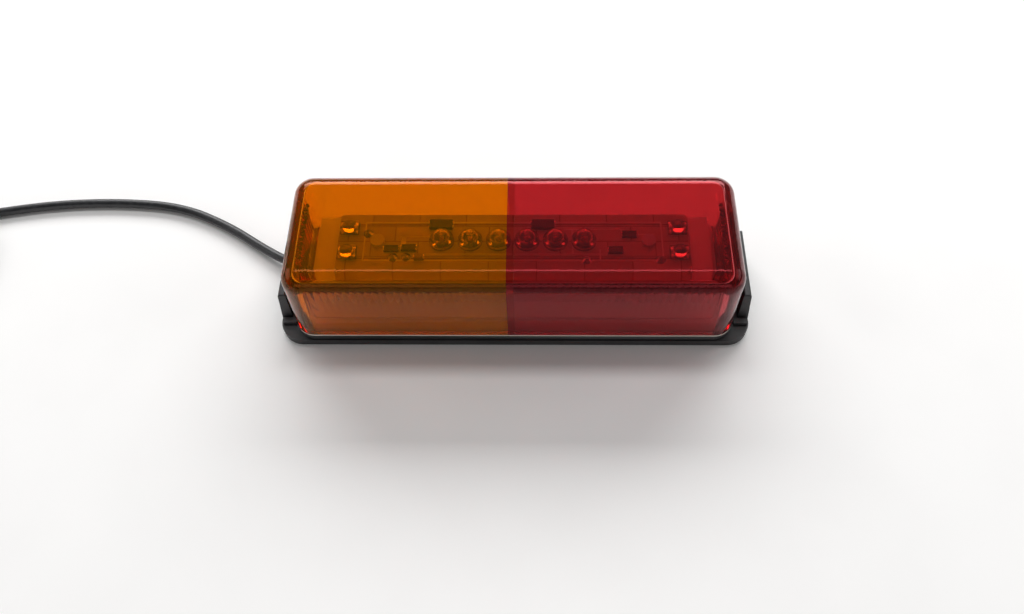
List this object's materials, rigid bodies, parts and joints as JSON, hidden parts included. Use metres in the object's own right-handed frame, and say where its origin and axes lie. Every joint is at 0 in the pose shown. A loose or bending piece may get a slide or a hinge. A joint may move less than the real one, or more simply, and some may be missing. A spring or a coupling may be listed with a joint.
{
  "type": "trailer marker light",
  "caption": "Thin-line trailer marker lamp: a half amber, half red lens over an LED board, in a black snap-in bracket with a one-wire lead.",
  "frame": {"origin": "middle of the bracket's flat mounting face", "axes": "+X along the lamp from the amber half to the red half, +Y across it, +Z out through the lens"},
  "size_m": [0.2023, 0.0529, 0.0241],
  "materials": {
    "black_abs": "moulded, fine texture",
    "lens_amber": "clear moulded, polished",
    "lens_red": "clear moulded, polished",
    "lens_seam": "fused",
    "seal": "natural silicone",
    "rubber": "matte",
    "brass": "tinned",
    "white_abs": "moulded",
    "grey_abs": "moulded",
    "board": "pale solder mask",
    "chip": "moulded epoxy",
    "ceramic": "fired",
    "solder": "bright",
    "wire_sleeve": "extruded vinyl",
    "copper": "tinned copper",
    "tie": "nylon",
    "led_amber": "clear epoxy",
    "led_red": "clear epoxy"
  },
  "bodies": {
    "bracket": {"bracket": "black_abs", "ground_strip": "brass", "ground_rivet": "brass", "cord_tube": "wire_sleeve", "cord_coil": "wire_sleeve", "cord_tie": "tie", "cord_tail": "wire_sleeve", "cord_bare_end": "copper"},
    "lamp": {"lens_amber": "lens_amber", "lens_red": "lens_red", "lens_weld_seam": "lens_seam", "lamp_base": "black_abs", "lens_seal": "seal", "wire_grommet": "rubber", "ground_contact": "brass", "reflector_tray": "white_abs", "led_carrier": "grey_abs", "circuit_board": "board", "end_reflector_amber": "white_abs", "end_reflector_red": "white_abs", "led_amber_1": "led_amber", "led_amber_2": "led_amber", "led_amber_3": "led_amber", "led_red_1": "led_red", "led_red_2": "led_red", "led_red_3": "led_red", "led_amber_end_1": "led_amber", "led_amber_end_2": "led_amber", "led_red_end_1": "led_red", "led_red_end_2": "led_red", "diode_1": "chip", "diode_2": "chip", "resistor_1": "chip", "resistor_2": "chip", "resistor_3": "chip", "resistor_4": "chip", "capacitor": "ceramic", "solder_joints": "solder", "power_lead": "wire_sleeve", "ground_lead": "copper"}
  },
  "joints": [
    {"name": "lamp_lift", "type": "slide", "parent": "bracket", "child": "lamp", "axis": [0, 0, 1], "range_m": [0, 0.02]}
  ]
}
